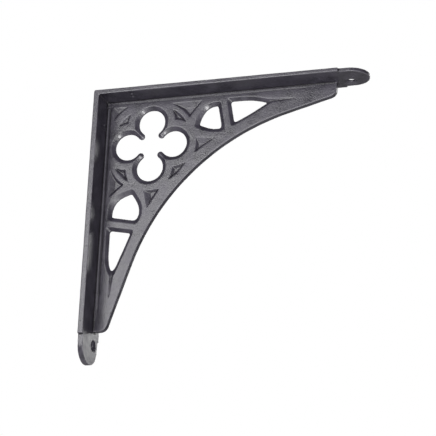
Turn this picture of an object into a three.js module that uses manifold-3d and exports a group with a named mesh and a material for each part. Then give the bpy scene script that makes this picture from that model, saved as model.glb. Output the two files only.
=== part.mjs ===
import * as THREE from "three";
import { ConvexGeometry } from "three/addons/geometries/ConvexGeometry.js";
import { mergeVertices } from "three/addons/utils/BufferGeometryUtils.js";
import Module from "manifold-3d";

// Shelf bracket cast in one piece, in millimetres.
// It is drawn with x running out under the shelf from the wall face, y down the wall from the shelf face,
// and z from the front edges of the two flanges to their back edges. The last lines stand it upright.
// The arms share their functions, and the carving has its own sizes on each, because they aren't quite alike.

// Flanges
const armLength = 203; // outer corner to the tip of either lug
const flangeWidth = 30;
const wallFlangeThickness = 4;
const shelfFlangeThickness = 3.6; // at the corner
const shelfTipThickness = 3; // at the lug, because that flange thins along its length
const outerCornerRound = 1.5;
const innerCornerRound = 1.5;

// Lugs, the tongues that the screws go through
const lugLength = 19.5; // past the end of the flange
const lugInset = 1.8; // each side of a lug stands this far in from the flange's edge
const lugRoot = 6; // how far a lug runs back into its flange
const screwFromTip = 14.7; // middle of a screw hole from its lug's tip, in line with the web
const screwRadius = 2.35;
const screwMouthRadius = 4.5;
const screwMouthDepth = 1.4;

// Web, the pierced plate that joins the arms
const webSetback = 18.4; // from the front edges of the flanges to the web's front face
const webThickness = 4.8;
const webEndGap = 5.3; // from the web's end to the end of the flange
const webEndRound = 5;
const shelfWebEndDepth = 12.3; // how far the web still reaches in from the flange's outer face at its end
const wallWebEndDepth = 12.7;

// Arch, the hollow curve of the web's free edge
const archCrown = 66.6; // crown of the arch, from the wall face and from the shelf face
const shelfArchEnd = 38.6; // straight end of the arch, from where its curve stops to the web's end
const wallArchEnd = 51.8;
const archRibWidth = 8.3; // plain rib between the carving and the arch

// Ring and quatrefoil in the corner
const ringCentre = 39.7; // from the wall face and from the shelf face
const ringInnerRadius = 31.2;
const ringOuterRadius = 34.8;
const quatrefoilCentre = 39.2; // the quatrefoil sits a little nearer the corner than the ring
const lobeOffset = 17.4; // from the middle of the quatrefoil to the middle of a lobe
const lobeRadius = 9.9;
const lobeRimRadius = 18.2; // where the moulding round a lobe ends
const cuspOffset = 7.6; // middle of a cusp's round tip, across and down from the quatrefoil's middle

// Openings along the arms, measured where their sloped rims meet the front face. Depths are from a flange's
// outer face, and distances along an arm are from the other arm's outer face.
const chamferWidth = 3; // sloped rim of the quatrefoil and the small openings, on both faces
const longChamferWidth = 2.4; // and of the long openings
const chamferDepth = 1.8;
const shelfRailDepth = 7.8; // depth of the carving's straight side
const wallRailDepth = 8.9;
const shelfSmallTopDepth = 9.8; // depth of the small opening's straight side
const wallSmallTopDepth = 9.1;
const barWidth = 4.6; // bar between the two openings of an arm
const shelfBarTop = 94; // middle of the bar where it meets the rail
const wallBarTop = 97.7;
const shelfBarLean = 11; // degrees that the bar leans out towards the lug
const wallBarLean = 10;
const barCornerRound = 2;
const smallSideAngle = 20; // degrees above the ring's middle where the small opening touches the ring
const smallSideRound = 1.5;
const smallHead = 77.2; // upper corner of the small opening, along the arm
const smallHeadRound = 13;
const shelfSmallBelly = 85; // lowest corner of the small opening, along the arm
const shelfSmallBellyDepth = 33.9;
const wallSmallBelly = 87.5;
const wallSmallBellyDepth = 37.8;
const smallBellyRound = 9;
const smallFootRound = 3.5;
const shelfLongShoulder = 116; // where the long opening's straight side starts to turn in
const wallLongShoulder = 128;
const longShoulderRound = 8;
const shelfLongTip = 132.8; // point of the long opening, before it is rounded
const shelfLongTipDepth = 12.8;
const shelfLongTipRound = 1.5;
const wallLongTip = 141.5;
const wallLongTipDepth = 15.2;
const wallLongTipRound = 8;
const shelfLongKnee = 113; // bend in the long opening's side beside the arch
const shelfLongKneeDepth = 24.4;
const wallLongKnee = 113;
const wallLongKneeDepth = 27;
const longKneeRound = 5;

// Groove that runs on from the tip of the long opening
const grooveOverlap = 6; // how far it starts back from the tip, inside the sloped rim
const shelfGrooveEnd = 153; // where it fades out, along the arm
const wallGrooveEnd = 159;
const shelfGrooveEndDepth = 12.4;
const wallGrooveEndDepth = 13.5;
const grooveWidth = 3;
const grooveDepth = 1;

// Sunk panels on the front face
const panelDepth = 1.5;
const panelWall = 1.4; // width of a panel's steep side
const panelRamp = 4.5; // width of a panel's gentle side
const spandrelEnd = 78; // far corner of the triangle between ring and rail, along the arm
const spandrelAngle = 34; // degrees above the ring's middle where its lowest corner lies
const kiteTip = 88; // far corner of the panel by the arch, along the arm
const kiteTopAngle = 6; // degrees above the ring's middle where that panel starts
const kiteFootAngle = 14; // degrees below the ring's middle where it ends
const cornerArcRadius = 37.2; // arc round the ring's middle that closes the panel in the corner

// Steps along curves, and how far a cut runs out of the metal
const archSteps = 40;
const cornerSteps = 6;
const lugSteps = 24;
const holeSteps = 32;
const lobeSteps = 48;
const tipSteps = 24;
const ringSteps = 96;
const footSteps = 12;
const overrun = 0.4;

const flangeEnd = armLength - lugLength;
const webEnd = flangeEnd - webEndGap;
const webBack = webSetback + webThickness;
const lugRadius = flangeWidth / 2 - lugInset;
const lugCentre = armLength - lugRadius;
const ringMiddle = new THREE.Vector2(ringCentre, ringCentre);

// Each arm places a point by its distance along the arm and its depth from the flange's outer face.
const shelfArm = {
  at: (along, depth) => new THREE.Vector2(along, depth),
  webRoot: shelfTipThickness / 2,
  webEndDepth: shelfWebEndDepth,
  archEnd: shelfArchEnd,
  railDepth: shelfRailDepth,
  smallTop: shelfSmallTopDepth,
  barTop: shelfBarTop,
  barLean: THREE.MathUtils.degToRad(shelfBarLean),
  belly: [shelfSmallBelly, shelfSmallBellyDepth],
  shoulder: shelfLongShoulder,
  tip: [shelfLongTip, shelfLongTipDepth],
  tipRound: shelfLongTipRound,
  knee: [shelfLongKnee, shelfLongKneeDepth],
  grooveEnd: [shelfGrooveEnd, shelfGrooveEndDepth],
};
const wallArm = {
  at: (along, depth) => new THREE.Vector2(depth, along),
  webRoot: wallFlangeThickness / 2,
  webEndDepth: wallWebEndDepth,
  archEnd: wallArchEnd,
  railDepth: wallRailDepth,
  smallTop: wallSmallTopDepth,
  barTop: wallBarTop,
  barLean: THREE.MathUtils.degToRad(wallBarLean),
  belly: [wallSmallBelly, wallSmallBellyDepth],
  shoulder: wallLongShoulder,
  tip: [wallLongTip, wallLongTipDepth],
  tipRound: wallLongTipRound,
  knee: [wallLongKnee, wallLongKneeDepth],
  grooveEnd: [wallGrooveEnd, wallGrooveEndDepth],
};

// The arch is an arc through its crown, and a straight end runs on from it to each end of the web. The arc's
// middle is as far from the crown as from both places where a straight end touches the arc.
const crown = new THREE.Vector2(archCrown, archCrown);
const [shelfTouch, wallTouch] = [shelfArm, wallArm].map((arm) => {
  const end = arm.at(webEnd, arm.webEndDepth);
  const { x, y } = crown.clone().sub(end).multiplyScalar(2);
  return { x, y, level: arm.archEnd ** 2 - end.lengthSq() + crown.lengthSq() };
});
const spread = shelfTouch.x * wallTouch.y - wallTouch.x * shelfTouch.y;
const archCentre = new THREE.Vector2(
  (shelfTouch.level * wallTouch.y - wallTouch.level * shelfTouch.y) / spread,
  (shelfTouch.x * wallTouch.level - wallTouch.x * shelfTouch.level) / spread,
);
const archRadius = archCentre.distanceTo(crown);

const wasm = await Module();
wasm.setup();

function solidOf(geometry) {
  geometry.deleteAttribute("normal");
  geometry.deleteAttribute("uv");
  const merged = mergeVertices(geometry);
  const corners = merged.index.array;
  const kept = [];
  for (let first = 0; first < corners.length; first += 3) {
    const [a, b, c] = corners.slice(first, first + 3);
    if (a !== b && b !== c && c !== a) {
      kept.push(a, b, c);
    }
  }
  const vertProperties = merged.attributes.position.array;
  return new wasm.Manifold(new wasm.Mesh({ numProp: 3, vertProperties, triVerts: Uint32Array.from(kept) }));
}

function geometryOf(solid) {
  const { vertProperties, triVerts } = solid.getMesh();
  const geometry = new THREE.BufferGeometry();
  geometry.setAttribute("position", new THREE.BufferAttribute(vertProperties, 3));
  geometry.setIndex(new THREE.BufferAttribute(triVerts, 1));
  return geometry;
}

const joined = (solids) => solids.reduce((all, solid) => all.add(solid));

// A point on a circle round the ring's middle, at an angle above the line that runs out along the arm.
function ringPoint(arm, degrees) {
  const angle = THREE.MathUtils.degToRad(degrees);
  const [outwards, upwards] = [Math.cos(angle), Math.sin(angle)];
  return arm.at(ringCentre + ringOuterRadius * outwards, ringCentre - ringOuterRadius * upwards);
}

// The arch seen along one arm: its middle, how much its straight end leans, and where the arc takes over.
function archSide(arm) {
  const { x: along, y: depth } = arm.at(archCentre.x, archCentre.y);
  const bearing = Math.atan2(depth - arm.webEndDepth, along - webEnd);
  const endToCentre = Math.hypot(depth - arm.webEndDepth, along - webEnd);
  const lean = Math.PI - bearing - Math.asin(archRadius / endToCentre);
  return { along, depth, lean, start: webEnd - arm.archEnd * Math.cos(lean) };
}

// Depth of the line that runs beside the arch, a distance into the web.
function besideArch(arm, along, distance) {
  const side = archSide(arm);
  if (along > side.start) {
    return arm.webEndDepth + (webEnd - along) * Math.tan(side.lean) - distance / Math.cos(side.lean);
  }
  return side.depth - Math.sqrt((archRadius + distance) ** 2 - (side.along - along) ** 2);
}

// How far along the arm a side of the bar lies at a depth. The far side is 1 and the near side is -1.
function barSide(arm, side, depth) {
  const middle = arm.barTop + (depth - arm.railDepth) * Math.tan(arm.barLean);
  return middle + (side * barWidth) / 2 / Math.cos(arm.barLean);
}

// Where a side of the bar meets the rib, found by walking down it.
function barFoot(arm, side) {
  let along = arm.barTop;
  for (let step = 0; step < footSteps; step += 1) {
    along = barSide(arm, side, besideArch(arm, along, archRibWidth));
  }
  return arm.at(along, besideArch(arm, along, archRibWidth));
}

// Corners are { point, round }, and a round leaves its two sides that far from the corner.
function roundedOutline(corners) {
  return corners.flatMap(({ point, round }, index) => {
    if (!round) {
      return [point];
    }
    const [start, end] = [corners.at(index - 1), corners[(index + 1) % corners.length]].map((next) =>
      point.clone().lerp(next.point, round / Math.max(point.distanceTo(next.point), round + next.round)),
    );
    return new THREE.QuadraticBezierCurve(start, point, end).getPoints(cornerSteps);
  });
}

// Moves every side of an outline inwards, and keeps the rounds.
function insetCorners(corners, distance) {
  const turn = Math.sign(THREE.ShapeUtils.area(corners.map(({ point }) => point)));
  return corners.map(({ point, round }, index) => {
    const towards = point.clone().sub(corners.at(index - 1).point).normalize();
    const away = corners[(index + 1) % corners.length].point.clone().sub(point).normalize();
    const inward = new THREE.Vector2(-towards.y - away.y, towards.x + away.x).multiplyScalar(turn);
    const share = inward.normalize().dot(new THREE.Vector2(-towards.y, towards.x)) * turn;
    return { point: point.clone().addScaledVector(inward, distance / share), round };
  });
}

function prism(outline, from, to) {
  const geometry = new THREE.ExtrudeGeometry(new THREE.Shape(outline), {
    depth: to - from,
    bevelEnabled: false,
  });
  return solidOf(geometry.translate(0, 0, from));
}

// The solid with flat sides round some points, whose levels are given from the web's front face.
function hull(points) {
  return solidOf(new ConvexGeometry(points).translate(0, 0, webSetback));
}

// A turned shape that stands across the web. Its profile is given from the web's front face.
function turned(profile, centre, steps) {
  const points = profile.map(([radius, depth]) => new THREE.Vector2(radius, depth));
  const geometry = new THREE.LatheGeometry(points, steps).rotateX(Math.PI / 2);
  return solidOf(geometry.translate(centre.x, centre.y, webSetback));
}

// Both flanges are one angle section, with the lugs standing out of its ends.
function flanges() {
  const outline = roundedOutline([
    { point: new THREE.Vector2(0, 0), round: outerCornerRound },
    { point: new THREE.Vector2(flangeEnd, 0), round: 0 },
    { point: new THREE.Vector2(flangeEnd, shelfTipThickness), round: 0 },
    { point: new THREE.Vector2(wallFlangeThickness, shelfFlangeThickness), round: innerCornerRound },
    { point: new THREE.Vector2(wallFlangeThickness, flangeEnd), round: 0 },
    { point: new THREE.Vector2(0, flangeEnd), round: 0 },
  ]);
  return prism(outline, 0, flangeWidth);
}

// A lug lies with its length on x and its thickness on z, and a matrix puts it on its arm. The bracket's back
// is towards +y where back is 1, and towards -y where it is -1.
function lug(thickness, matrix, back) {
  const root = flangeEnd - lugRoot;
  const outline = new THREE.ArcCurve(lugCentre, 0, lugRadius, -Math.PI / 2, Math.PI / 2).getPoints(lugSteps);
  outline.push(new THREE.Vector2(root, lugRadius), new THREE.Vector2(root, -lugRadius));
  const tongue = new THREE.ExtrudeGeometry(new THREE.Shape(outline), {
    depth: thickness,
    bevelEnabled: false,
  });
  const mouthSlope = (screwMouthRadius - screwRadius) / screwMouthDepth;
  const profile = [
    [0, -overrun],
    [screwRadius, -overrun],
    [screwRadius, thickness - screwMouthDepth],
    [screwMouthRadius + overrun * mouthSlope, thickness + overrun],
    [0, thickness + overrun],
  ].map(([radius, height]) => new THREE.Vector2(radius, height));
  const across = back * ((webSetback + webBack) / 2 - flangeWidth / 2);
  const hole = new THREE.LatheGeometry(profile, holeSteps).rotateX(Math.PI / 2);
  hole.translate(armLength - screwFromTip, across, 0);
  return solidOf(tongue.applyMatrix4(matrix)).subtract(solidOf(hole.applyMatrix4(matrix)));
}

function lugs() {
  const [x, y, z] = [0, 1, 2].map((axis) => new THREE.Vector3().setComponent(axis, 1));
  const onWall = new THREE.Matrix4().makeBasis(y, z, x).setPosition(0, 0, flangeWidth / 2);
  const onShelf = new THREE.Matrix4().makeBasis(x, z.clone().negate(), y).setPosition(0, 0, flangeWidth / 2);
  return lug(wallFlangeThickness, onWall, 1).add(lug(shelfTipThickness, onShelf, -1));
}

// The plate before it is pierced. Its straight sides lie inside the flanges.
function webPlate() {
  const end = (arm) => [
    { point: arm.at(webEnd, arm.webRoot), round: 0 },
    { point: arm.at(webEnd, arm.webEndDepth), round: webEndRound },
    { point: arm.at(archSide(arm).start, besideArch(arm, archSide(arm).start, 0)), round: 0 },
  ];
  const arc = new THREE.ArcCurve(
    archCentre.x,
    archCentre.y,
    archRadius,
    -Math.PI / 2 - archSide(shelfArm).lean,
    -Math.PI + archSide(wallArm).lean,
    true,
  ).getPoints(archSteps);
  const outline = roundedOutline([
    { point: new THREE.Vector2(wallArm.webRoot, shelfArm.webRoot), round: 0 },
    ...end(shelfArm),
    ...arc.slice(1, -1).map((point) => ({ point, round: 0 })),
    ...end(wallArm).reverse(),
  ]);
  return prism(outline, webSetback, webBack);
}

// Four round lobes that run together in the middle, with a blunt cusp between each two.
function quatrefoil() {
  const flare = (chamferWidth * (chamferDepth + overrun)) / chamferDepth;
  const lobeProfile = [
    [0, -overrun],
    [lobeRadius + flare, -overrun],
    [lobeRadius, chamferDepth],
    [lobeRadius, webThickness - chamferDepth],
    [lobeRadius + flare, webThickness + overrun],
    [0, webThickness + overrun],
  ];
  const tipRadius = Math.hypot(lobeOffset - cuspOffset, cuspOffset) - lobeRadius;
  const tipRise = (tipRadius * chamferDepth) / chamferWidth;
  const tipProfile = [
    [0, chamferDepth - tipRise],
    [tipRadius, chamferDepth],
    [tipRadius, webThickness - chamferDepth],
    [0, webThickness - chamferDepth + tipRise],
  ];
  const middle = new THREE.Vector2(quatrefoilCentre, quatrefoilCentre);
  const around = (x, y) =>
    [0, 1, 2, 3].map((quarter) =>
      new THREE.Vector2(x, y).rotateAround(new THREE.Vector2(), (quarter * Math.PI) / 2).add(middle),
    );
  const lobes = around(lobeOffset, 0).map((centre) => turned(lobeProfile, centre, lobeSteps));
  const tips = around(cuspOffset, cuspOffset).map((centre) => turned(tipProfile, centre, tipSteps));
  const diamond = prism(around(2 * cuspOffset, 0), webSetback - overrun, webBack + overrun);
  return joined([diamond, ...lobes]).subtract(joined(tips));
}

// Pierces the web with an outline that is given where its sloped rim, of some width, meets the front face.
function opening(corners, width) {
  const sections = [
    [-overrun, (-width * overrun) / chamferDepth],
    [chamferDepth, width],
    [webThickness - chamferDepth, width],
    [webThickness + overrun, (-width * overrun) / chamferDepth],
  ].map(([level, distance]) =>
    roundedOutline(insetCorners(corners, distance)).map(({ x, y }) => new THREE.Vector3(x, y, level)),
  );
  return joined([0, 1, 2].map((index) => hull([...sections[index], ...sections[index + 1]])));
}

function smallOpening(arm) {
  const corners = [
    { point: ringPoint(arm, smallSideAngle), round: smallSideRound },
    { point: arm.at(smallHead, arm.smallTop), round: smallHeadRound },
    { point: arm.at(barSide(arm, -1, arm.smallTop), arm.smallTop), round: barCornerRound },
    { point: barFoot(arm, -1), round: smallFootRound },
    { point: arm.at(...arm.belly), round: smallBellyRound },
  ];
  return opening(corners, chamferWidth);
}

function longOpening(arm) {
  const corners = [
    { point: arm.at(barSide(arm, 1, arm.railDepth), arm.railDepth), round: barCornerRound },
    { point: arm.at(arm.shoulder, arm.railDepth), round: longShoulderRound },
    { point: arm.at(...arm.tip), round: arm.tipRound },
    { point: arm.at(...arm.knee), round: longKneeRound },
    { point: barFoot(arm, 1), round: barCornerRound },
  ];
  return opening(corners, longChamferWidth);
}

// A shallow V that narrows and fades out towards the lug.
function groove(arm) {
  const [tip, tipDepth] = arm.tip;
  const [end, endDepth] = arm.grooveEnd;
  const start = tip - grooveOverlap;
  const half = (grooveWidth / 2) * (1 + overrun / grooveDepth);
  const points = [
    [start, tipDepth - half, -overrun],
    [start, tipDepth + half, -overrun],
    [start, tipDepth, grooveDepth],
    [end, endDepth, -overrun],
    [end, endDepth, 0],
  ].map(([along, depth, level]) => new THREE.Vector3(...arm.at(along, depth), level));
  return hull(points);
}

// The metal under the sloping side of a panel that starts on a straight line. The panel is towards inner.
function straightSide(start, end, inner, width) {
  const along = end.clone().sub(start);
  const across = new THREE.Vector2(-along.y, along.x).normalize();
  across.multiplyScalar(Math.sign(across.dot(inner.clone().sub(start))));
  const creep = (width * overrun) / panelDepth;
  const section = [
    [-width, -overrun],
    [-creep, -overrun],
    [-width, panelDepth + overrun],
    [width + creep, panelDepth + overrun],
  ];
  const ends = [start.clone().sub(along), end.clone().add(along)];
  const points = section.flatMap(([reach, level]) =>
    ends.map((point) => new THREE.Vector3(...point.clone().addScaledVector(across, reach), level)),
  );
  return hull(points);
}

// The metal under the sloping side of a panel that surrounds a round moulding.
function roundSide(centre, radius) {
  const creep = (panelWall * overrun) / panelDepth;
  const profile = [
    [0, -overrun],
    [radius - creep, -overrun],
    [radius + panelWall + creep, panelDepth + overrun],
    [0, panelDepth + overrun],
  ];
  return turned(profile, centre, ringSteps);
}

// A three-cornered panel beside the ring. Its sides away from the ring are [from, to, width].
function panel(corners, arcRadius, sides) {
  const hollow = prism(corners, webSetback - overrun, webSetback + panelDepth);
  const middle = corners[0].clone().add(corners[1]).add(corners[2]).divideScalar(3);
  const walls = sides.map(([from, to, width]) => straightSide(corners[from], corners[to], middle, width));
  return hollow.subtract(joined([roundSide(ringMiddle, arcRadius), ...walls]));
}

function spandrel(arm) {
  const onRing = ringCentre + Math.sqrt(ringOuterRadius ** 2 - (ringCentre - arm.railDepth) ** 2);
  const corners = [
    arm.at(onRing, arm.railDepth),
    arm.at(spandrelEnd, arm.railDepth),
    ringPoint(arm, spandrelAngle),
  ];
  return panel(corners, ringOuterRadius, [[0, 1, panelRamp], [1, 2, panelWall]]);
}

function kite(arm) {
  const tip = arm.at(kiteTip, besideArch(arm, kiteTip, archRibWidth));
  const corners = [ringPoint(arm, kiteTopAngle), tip, ringPoint(arm, -kiteFootAngle)];
  return panel(corners, ringOuterRadius, [[0, 1, panelRamp], [1, 2, panelWall]]);
}

function cornerPanel() {
  const corner = new THREE.Vector2(wallArm.railDepth, shelfArm.railDepth);
  const [alongShelf, alongWall] = [shelfArm, wallArm].map(({ at, railDepth }) =>
    at(ringCentre - Math.sqrt(cornerArcRadius ** 2 - (ringCentre - railDepth) ** 2), railDepth),
  );
  return panel([corner, alongShelf, alongWall], cornerArcRadius, [[0, 1, panelRamp], [0, 2, panelRamp]]);
}

// Sunk daggers between the lobes' mouldings and the ring, one in each quarter.
function daggers() {
  const creep = (panelWall * overrun) / panelDepth;
  const profile = [
    [0, -overrun],
    [ringInnerRadius + creep, -overrun],
    [ringInnerRadius - panelWall, panelDepth],
    [0, panelDepth],
  ];
  const middle = new THREE.Vector2(quatrefoilCentre, quatrefoilCentre);
  const mouldings = [[1, 0], [0, 1], [-1, 0], [0, -1]].map(([x, y]) =>
    roundSide(new THREE.Vector2(x, y).multiplyScalar(lobeOffset).add(middle), lobeRimRadius),
  );
  return turned(profile, ringMiddle, ringSteps).subtract(joined(mouldings));
}

const cuts = [quatrefoil(), daggers(), cornerPanel()];
for (const arm of [shelfArm, wallArm]) {
  cuts.push(smallOpening(arm), longOpening(arm), groove(arm), spandrel(arm), kite(arm));
}
const web = webPlate().subtract(joined(cuts));
const casting = geometryOf(joined([flanges(), web, lugs()]));
casting.rotateX(-Math.PI / 2).translate(0, -flangeWidth / 2, armLength / 2);

const blackIron = new THREE.MeshStandardMaterial({
  color: 0x2c2a2f,
  roughness: 0.45,
  metalness: 0.4,
  flatShading: true,
});
const bracket = new THREE.Mesh(casting, blackIron);
bracket.name = "bracket";

const model = new THREE.Group();
model.add(bracket);

export default model;
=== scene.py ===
import math

import bmesh
import bpy
from mathutils import Euler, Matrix, Vector, kdtree, noise


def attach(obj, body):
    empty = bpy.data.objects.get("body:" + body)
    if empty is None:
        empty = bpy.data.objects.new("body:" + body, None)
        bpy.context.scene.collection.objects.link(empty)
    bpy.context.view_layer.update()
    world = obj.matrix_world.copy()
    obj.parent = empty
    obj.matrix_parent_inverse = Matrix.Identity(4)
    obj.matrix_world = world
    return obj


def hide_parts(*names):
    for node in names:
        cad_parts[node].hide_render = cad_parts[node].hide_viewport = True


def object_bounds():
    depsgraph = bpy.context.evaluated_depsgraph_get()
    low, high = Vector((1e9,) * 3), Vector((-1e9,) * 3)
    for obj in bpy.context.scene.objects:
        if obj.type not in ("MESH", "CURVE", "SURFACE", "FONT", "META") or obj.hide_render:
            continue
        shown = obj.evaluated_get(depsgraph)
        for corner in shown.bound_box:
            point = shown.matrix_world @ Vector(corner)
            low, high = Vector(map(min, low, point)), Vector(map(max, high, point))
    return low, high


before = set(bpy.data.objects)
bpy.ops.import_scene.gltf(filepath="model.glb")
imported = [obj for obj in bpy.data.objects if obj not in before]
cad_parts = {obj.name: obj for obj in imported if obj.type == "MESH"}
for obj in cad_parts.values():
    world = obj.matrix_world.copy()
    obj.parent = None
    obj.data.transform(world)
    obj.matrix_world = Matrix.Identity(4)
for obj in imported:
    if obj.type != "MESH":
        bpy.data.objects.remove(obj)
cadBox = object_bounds()
scene = bpy.context.scene
millimetre = 0.001
print("frame loaded")


# Shader helpers

def newGroup(name, inputs, outputs):
    group = bpy.data.node_groups.new(name, "ShaderNodeTree")
    for label, kind, value in inputs:
        socket = group.interface.new_socket(label, in_out="INPUT", socket_type=kind)
        socket.default_value = value
    for label, kind in outputs:
        group.interface.new_socket(label, in_out="OUTPUT", socket_type=kind)
    return group, group.nodes.new("NodeGroupInput"), group.nodes.new("NodeGroupOutput")


def noiseNode(tree, detail, roughness=0.5):
    node = tree.nodes.new("ShaderNodeTexNoise")
    node.inputs["Detail"].default_value = detail
    node.inputs["Roughness"].default_value = roughness
    return node


def rampNode(tree, source, low, high):
    node = tree.nodes.new("ShaderNodeMapRange")
    node.inputs["From Min"].default_value = low
    node.inputs["From Max"].default_value = high
    tree.links.new(source, node.inputs["Value"])
    return node.outputs["Result"]


def mathNode(tree, operation, first, second):
    node = tree.nodes.new("ShaderNodeMath")
    node.operation = operation
    for slot, value in zip(node.inputs, (first, second)):
        if isinstance(value, (int, float)):
            slot.default_value = value
        else:
            tree.links.new(value, slot)
    return node.outputs["Value"]


def mixColour(tree, factor, first, second):
    node = tree.nodes.new("ShaderNodeMix")
    node.data_type = "RGBA"
    tree.links.new(factor, node.inputs["Factor"])
    for slot, value in zip((node.inputs[6], node.inputs[7]), (first, second)):
        if isinstance(value, tuple):
            slot.default_value = (*value, 1)
        else:
            tree.links.new(value, slot)
    return node.outputs[2]


# Sand-cast skin: slow swells, a fine grain and scattered pits

def castSkinGroup():
    group, inward, outward = newGroup(
        "castSkin",
        [("Position", "NodeSocketVector", (0, 0, 0)), ("Grain Scale", "NodeSocketFloat", 900),
         ("Swell Scale", "NodeSocketFloat", 120), ("Pit Share", "NodeSocketFloat", 0.3)],
        [("Height", "NodeSocketFloat"), ("Mottle", "NodeSocketFloat")],
    )
    position = inward.outputs["Position"]
    grain = noiseNode(group, 3, 0.6)
    swell = noiseNode(group, 2)
    pits = group.nodes.new("ShaderNodeTexVoronoi")
    for node, scale in ((grain, "Grain Scale"), (swell, "Swell Scale"), (pits, "Grain Scale")):
        group.links.new(position, node.inputs["Vector"])
        group.links.new(inward.outputs[scale], node.inputs["Scale"])
    pitMask = rampNode(group, pits.outputs["Distance"], 0.32, 0.1)
    scattered = mathNode(group, "LESS_THAN", swell.outputs["Fac"], inward.outputs["Pit Share"])
    pitMask = mathNode(group, "MULTIPLY", pitMask, scattered)
    height = mathNode(group, "SUBTRACT", grain.outputs["Fac"], pitMask)
    mottle = rampNode(group, swell.outputs["Fac"], 0.32, 0.68)
    group.links.new(height, outward.inputs["Height"])
    group.links.new(mottle, outward.inputs["Mottle"])
    return group


# Paint worn thin on the raised edges, which are also lightened there as a painted highlight; the
# hollows get painted shade

def edgeWearAndPaintedLightGroup():
    group, inward, outward = newGroup(
        "edgeWearAndPaintedLight",
        [("Position", "NodeSocketVector", (0, 0, 0)), ("Edge", "NodeSocketFloat", 0),
         ("Start", "NodeSocketFloat", 0.3), ("Break Up", "NodeSocketFloat", 0.5)],
        [("Wear And Highlight", "NodeSocketFloat"), ("Painted Hollow Shade", "NodeSocketFloat")],
    )
    broken = noiseNode(group, 4, 0.6)
    broken.inputs["Scale"].default_value = 260
    group.links.new(inward.outputs["Position"], broken.inputs["Vector"])
    swing = mathNode(group, "SUBTRACT", broken.outputs["Fac"], 0.5)
    swing = mathNode(group, "MULTIPLY", swing, inward.outputs["Break Up"])
    edge = mathNode(group, "ADD", inward.outputs["Edge"], swing)
    edge = mathNode(group, "SUBTRACT", edge, inward.outputs["Start"])
    # Raised edges get a lighter colour: partly worn paint, partly a painted highlight
    group.links.new(rampNode(group, edge, 0, 0.5), outward.inputs["Wear And Highlight"])
    # Painted shade: the hollows under the smoothed surface are marked for a darker colour
    group.links.new(rampNode(group, inward.outputs["Edge"], -0.1, -0.9), outward.inputs["Painted Hollow Shade"])
    return group


castSkin = castSkinGroup()
edgeWearAndPaintedLight = edgeWearAndPaintedLightGroup()


def useGroup(tree, group, values):
    node = tree.nodes.new("ShaderNodeGroup")
    node.node_tree = group
    for label, value in values.items():
        slot = node.inputs[label]
        if isinstance(value, (int, float)):
            slot.default_value = value
        else:
            tree.links.new(value, slot)
    return node.outputs


ironPaint = {
    "dark": (0.018, 0.016, 0.024),
    "light": (0.040, 0.036, 0.050),
    # edge: lighter colour on raised edges, partly worn paint and partly a painted highlight
    "edge": (0.070, 0.066, 0.080),
    # painted shade darkening the hollows
    "hollow": (0.006, 0.005, 0.008),
    "roughness": (0.3, 0.44),
    "coat": 0.2,
    "coatRoughness": 0.18,
    "grainScale": 900,
    "grainDepth": 0.22 * millimetre,
    "mottleScale": 130,
    "pitShare": 0.4,
    "wearAndHighlightStart": 0.35,
    "wearAndHighlightBreakUp": 0.6,
}


def ironMaterial(settings):
    material = bpy.data.materials.new("satinBlackIron")
    material.use_nodes = True
    tree = material.node_tree
    shader = tree.nodes["Principled BSDF"]
    position = tree.nodes.new("ShaderNodeTexCoord").outputs["Object"]
    edge = tree.nodes.new("ShaderNodeAttribute")
    edge.attribute_name = "edge"
    skin = useGroup(tree, castSkin, {
        "Position": position,
        "Grain Scale": settings["grainScale"],
        "Swell Scale": settings["mottleScale"],
        "Pit Share": settings["pitShare"],
    })
    wearAndPaintedLight = useGroup(tree, edgeWearAndPaintedLight, {
        "Position": position,
        "Edge": edge.outputs["Fac"],
        "Start": settings["wearAndHighlightStart"],
        "Break Up": settings["wearAndHighlightBreakUp"],
    })
    colour = mixColour(tree, skin["Mottle"], settings["dark"], settings["light"])
    # Painted shade: the hollows are darkened
    colour = mixColour(tree, wearAndPaintedLight["Painted Hollow Shade"], colour, settings["hollow"])
    # Raised edges lighter: partly worn paint, partly a painted highlight
    colour = mixColour(tree, wearAndPaintedLight["Wear And Highlight"], colour, settings["edge"])
    tree.links.new(colour, shader.inputs["Base Color"])
    smooth, rough = settings["roughness"]
    gloss = tree.nodes.new("ShaderNodeMapRange")
    gloss.inputs["To Min"].default_value = smooth
    gloss.inputs["To Max"].default_value = rough
    tree.links.new(skin["Mottle"], gloss.inputs["Value"])
    tree.links.new(gloss.outputs["Result"], shader.inputs["Roughness"])
    grain = tree.nodes.new("ShaderNodeBump")
    grain.inputs["Distance"].default_value = settings["grainDepth"]
    tree.links.new(skin["Height"], grain.inputs["Height"])
    tree.links.new(grain.outputs["Normal"], shader.inputs["Normal"])
    shader.inputs["Coat Weight"].default_value = settings["coat"]
    shader.inputs["Coat Roughness"].default_value = settings["coatRoughness"]
    return material


# Casting

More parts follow.
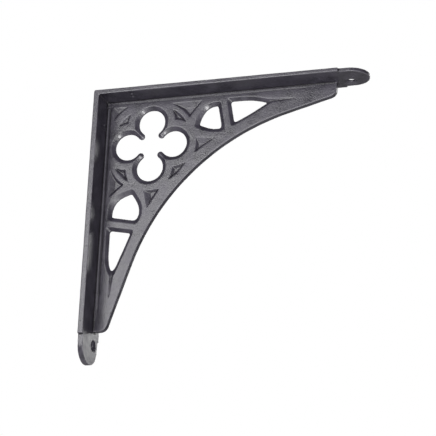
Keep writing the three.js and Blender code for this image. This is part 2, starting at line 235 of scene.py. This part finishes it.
castingSettings = {
    "voxel": 0.4 * millimetre,
    "softenSteps": 1,
    "swellDepth": 0.16 * millimetre,
    "swellLength": 14 * millimetre,
    "edgeSteps": 6,
    "edgeReach": 0.12 * millimetre,
    "triangles": 190000,
    "webFace": 3.4 * millimetre,  # y of the web's front face
    "webReach": 0.5 * millimetre,  # how far from that face its vertices can lie
    "webFacing": -0.8,  # a normal's y on that face is below this
    "beadStart": 6,  # along an arm, from the corner
    "beadFadeIn": 4,
    "beadEnd": 170,
    "beadFadeOut": 25,
    "beads": {  # raised lines beside the flanges: depth from the arm's outer face, half width, height
        "wallBead": {"arm": "wall", "at": 5.0, "half": 1.1, "rise": 0.55},
        "wallGroove": {"arm": "wall", "at": 6.5, "half": 0.8, "rise": -0.35},
        "shelfBead": {"arm": "shelf", "at": 4.2, "half": 0.8, "rise": 0.3},
    },
    "marks": [  # casting flaws on the inner faces and the web: x, y, z, radius, height
        (28.0, -10.2, 97.9, 1.6, 0.9),
        (27.0, -5.4, 97.9, 1.8, 1.0),
        (4.0, -1.8, 78.5, 1.4, 0.9),
        (4.0, -0.3, 76.0, 1.1, -0.7),
        (4.0, 1.6, 93.6, 1.0, 0.6),
        (5.4, 3.4, 94.0, 0.8, -0.4),
        (7.2, 3.4, 95.4, 0.6, 0.35),
        (60.2, 3.4, 38.5, 0.6, -0.4),
        (62.8, 3.4, 41.4, 0.5, 0.3),
        (176.0, 3.4, 92.3, 0.6, 0.3),
    ],
}


def applyModifiers(piece):
    graph = bpy.context.evaluated_depsgraph_get()
    mesh = bpy.data.meshes.new_from_object(piece.evaluated_get(graph))
    piece.modifiers.clear()
    piece.data = mesh


def soften(bm, steps):
    for step in range(steps):
        bmesh.ops.smooth_vert(
            bm, verts=bm.verts, factor=0.5, use_axis_x=True, use_axis_y=True, use_axis_z=True
        )


# The cast faces dip a little here and there, and never rise past the solid.
def addSwells(bm, depth, length):
    bm.normal_update()
    for vert in bm.verts:
        dip = 0.5 + 0.5 * noise.fractal(vert.co / length, 0.6, 2.0, 3)
        vert.co -= vert.normal * depth * min(max(dip, 0), 1)


# A smooth hump, 1 in the middle and 0 from an offset of 1 outwards.
def bump(offset):
    return max(0, 1 - offset * offset) ** 2


# Small flaws that the sand left, each a hump or a pit.
def addMarks(bm, marks):
    tree = kdtree.KDTree(len(bm.verts))
    bm.verts.ensure_lookup_table()
    bm.normal_update()
    for vert in bm.verts:
        tree.insert(vert.co, vert.index)
    tree.balance()
    for x, y, z, radius, height in marks:
        middle = Vector((x, y, z)) * millimetre
        for place, index, away in tree.find_range(middle, radius * millimetre):
            vert = bm.verts[index]
            vert.co += vert.normal * height * bump(away / (radius * millimetre)) * millimetre


# Beads beside the flanges, on the web's front face.
def addRelief(bm, settings):
    corner = Vector((cadBox[0].x, cadBox[1].z))
    for vert in bm.verts:
        out = (vert.co.x - corner.x) / millimetre
        down = (corner.y - vert.co.z) / millimetre
        away = abs(vert.co.y - settings["webFace"])
        if vert.normal.y > settings["webFacing"] or away > settings["webReach"]:
            continue
        rise = 0
        for bead in settings["beads"].values():
            depth, along = (out, down) if bead["arm"] == "wall" else (down, out)
            fadeOut = min(max((settings["beadEnd"] - along) / settings["beadFadeOut"], 0), 1)
            fadeIn = min(max((along - settings["beadStart"]) / settings["beadFadeIn"], 0), 1)
            fade = fadeOut * fadeIn
            rise += bead["rise"] * fade * bump((depth - bead["at"]) / bead["half"])
        vert.co.y -= rise * millimetre


# Edges stand out from a smoothed copy of the surface, and hollows lie under it.
def markEdges(bm, steps, reach):
    bm.normal_update()
    edge = bm.verts.layers.float.new("edge")
    placed = [(vert.co.copy(), vert.normal.copy()) for vert in bm.verts]
    soften(bm, steps)
    for vert, (place, normal) in zip(bm.verts, placed):
        vert[edge] = (place - vert.co).dot(normal) / reach
        vert.co = place


def makeCasting(settings):
    bm = bmesh.new()
    bm.from_mesh(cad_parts["bracket"].data)
    bmesh.ops.remove_doubles(bm, verts=bm.verts, dist=0.001 * millimetre)
    mesh = bpy.data.meshes.new("casting")
    bm.to_mesh(mesh)
    casting = bpy.data.objects.new("casting", mesh)
    scene.collection.objects.link(casting)
    remesh = casting.modifiers.new("castSkin", "REMESH")
    remesh.mode = "VOXEL"
    remesh.voxel_size = settings["voxel"]
    applyModifiers(casting)
    bm.clear()
    bm.from_mesh(casting.data)
    soften(bm, settings["softenSteps"])
    addSwells(bm, settings["swellDepth"], settings["swellLength"])
    addRelief(bm, settings)
    addMarks(bm, settings["marks"])
    bm.to_mesh(casting.data)
    print("casting skin:", len(bm.faces), "faces")
    thin = casting.modifiers.new("thin", "DECIMATE")
    thin.ratio = min(1, settings["triangles"] / (2 * len(bm.faces)))
    applyModifiers(casting)
    bm.clear()
    bm.from_mesh(casting.data)
    markEdges(bm, settings["edgeSteps"], settings["edgeReach"])
    for face in bm.faces:
        face.smooth = True
    bm.to_mesh(casting.data)
    print("casting:", len(bm.faces), "triangles")
    bm.free()
    casting.data.materials.append(ironMaterial(ironPaint))
    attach(casting, "root")
    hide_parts("bracket")


makeCasting(castingSettings)


# Studio

studio = {
    "floorDrop": 1.0,
    "floorSize": 6,
    "ambient": 0.2,
    "lights": {
        "frontLeft": {"at": (-0.5, -1.35, 0.25), "size": 0.7, "watts": 14},
        "frontRight": {"at": (0.3, -1.6, -0.15), "size": 0.8, "watts": 11},
        "lowerRight": {"at": (1.15, -0.75, -0.45), "size": 0.3, "watts": 4},
        "glint": {"at": (0.52, -1.26, -0.62), "size": 0.12, "watts": 9},
        "back": {"at": (-0.35, 1.3, 0.7), "size": 1.2, "watts": 24},
        "backRight": {"at": (0.6, 1.3, 0.5), "size": 0.6, "watts": 3},
    },
}


def makeWorld(settings):
    world = bpy.data.worlds.new("studio")
    world.use_nodes = True
    scene.world = world
    tree = world.node_tree
    seen = tree.nodes["Background"]
    seen.inputs["Color"].default_value = (1, 1, 1, 1)
    around = tree.nodes.new("ShaderNodeBackground")
    around.inputs["Strength"].default_value = settings["ambient"]
    path = tree.nodes.new("ShaderNodeLightPath")
    both = tree.nodes.new("ShaderNodeMixShader")
    tree.links.new(path.outputs["Is Camera Ray"], both.inputs["Fac"])
    tree.links.new(around.outputs["Background"], both.inputs[1])
    tree.links.new(seen.outputs["Background"], both.inputs[2])
    tree.links.new(both.outputs["Shader"], tree.nodes["World Output"].inputs["Surface"])


def makeLights(settings):
    middle = (cadBox[0] + cadBox[1]) / 2
    for name, light in settings["lights"].items():
        data = bpy.data.lights.new(name, "AREA")
        data.size = light["size"]
        data.energy = light["watts"]
        lamp = bpy.data.objects.new(name, data)
        lamp.location = light["at"]
        lamp.rotation_euler = (middle - lamp.location).to_track_quat("-Z", "Y").to_euler()
        scene.collection.objects.link(lamp)


def makeFloor(settings):
    bm = bmesh.new()
    bmesh.ops.create_grid(bm, x_segments=1, y_segments=1, size=settings["floorSize"] / 2)
    bmesh.ops.translate(bm, verts=bm.verts, vec=(0, 0, -settings["floorDrop"]))
    mesh = bpy.data.meshes.new("floor")
    bm.to_mesh(mesh)
    bm.free()
    floor = bpy.data.objects.new("floor", mesh)
    scene.collection.objects.link(floor)
    material = bpy.data.materials.new("paleFloor")
    material.use_nodes = True
    shader = material.node_tree.nodes["Principled BSDF"]
    shader.inputs["Base Color"].default_value = (0.8, 0.8, 0.8, 1)
    shader.inputs["Roughness"].default_value = 0.7
    mesh.materials.append(material)


makeWorld(studio)
makeLights(studio)
makeFloor(studio)
scene.view_settings.view_transform = "Standard"
print("studio ready")


# Camera, fitted to the bracket's own edges and lugs in the picture

cameraPlace = {
    "at": (0.4661, -1.0699, -0.3820),
    "turn": (108.708, -2.360, 18.331),
    "lens": 140.4,
    "sensor": 36,
}


def makeCamera(settings):
    data = bpy.data.cameras.new("camera")
    data.lens = settings["lens"]
    data.sensor_width = settings["sensor"]
    camera = bpy.data.objects.new("camera", data)
    camera.location = settings["at"]
    camera.rotation_euler = Euler([math.radians(angle) for angle in settings["turn"]])
    scene.collection.objects.link(camera)
    scene.camera = camera


makeCamera(cameraPlace)
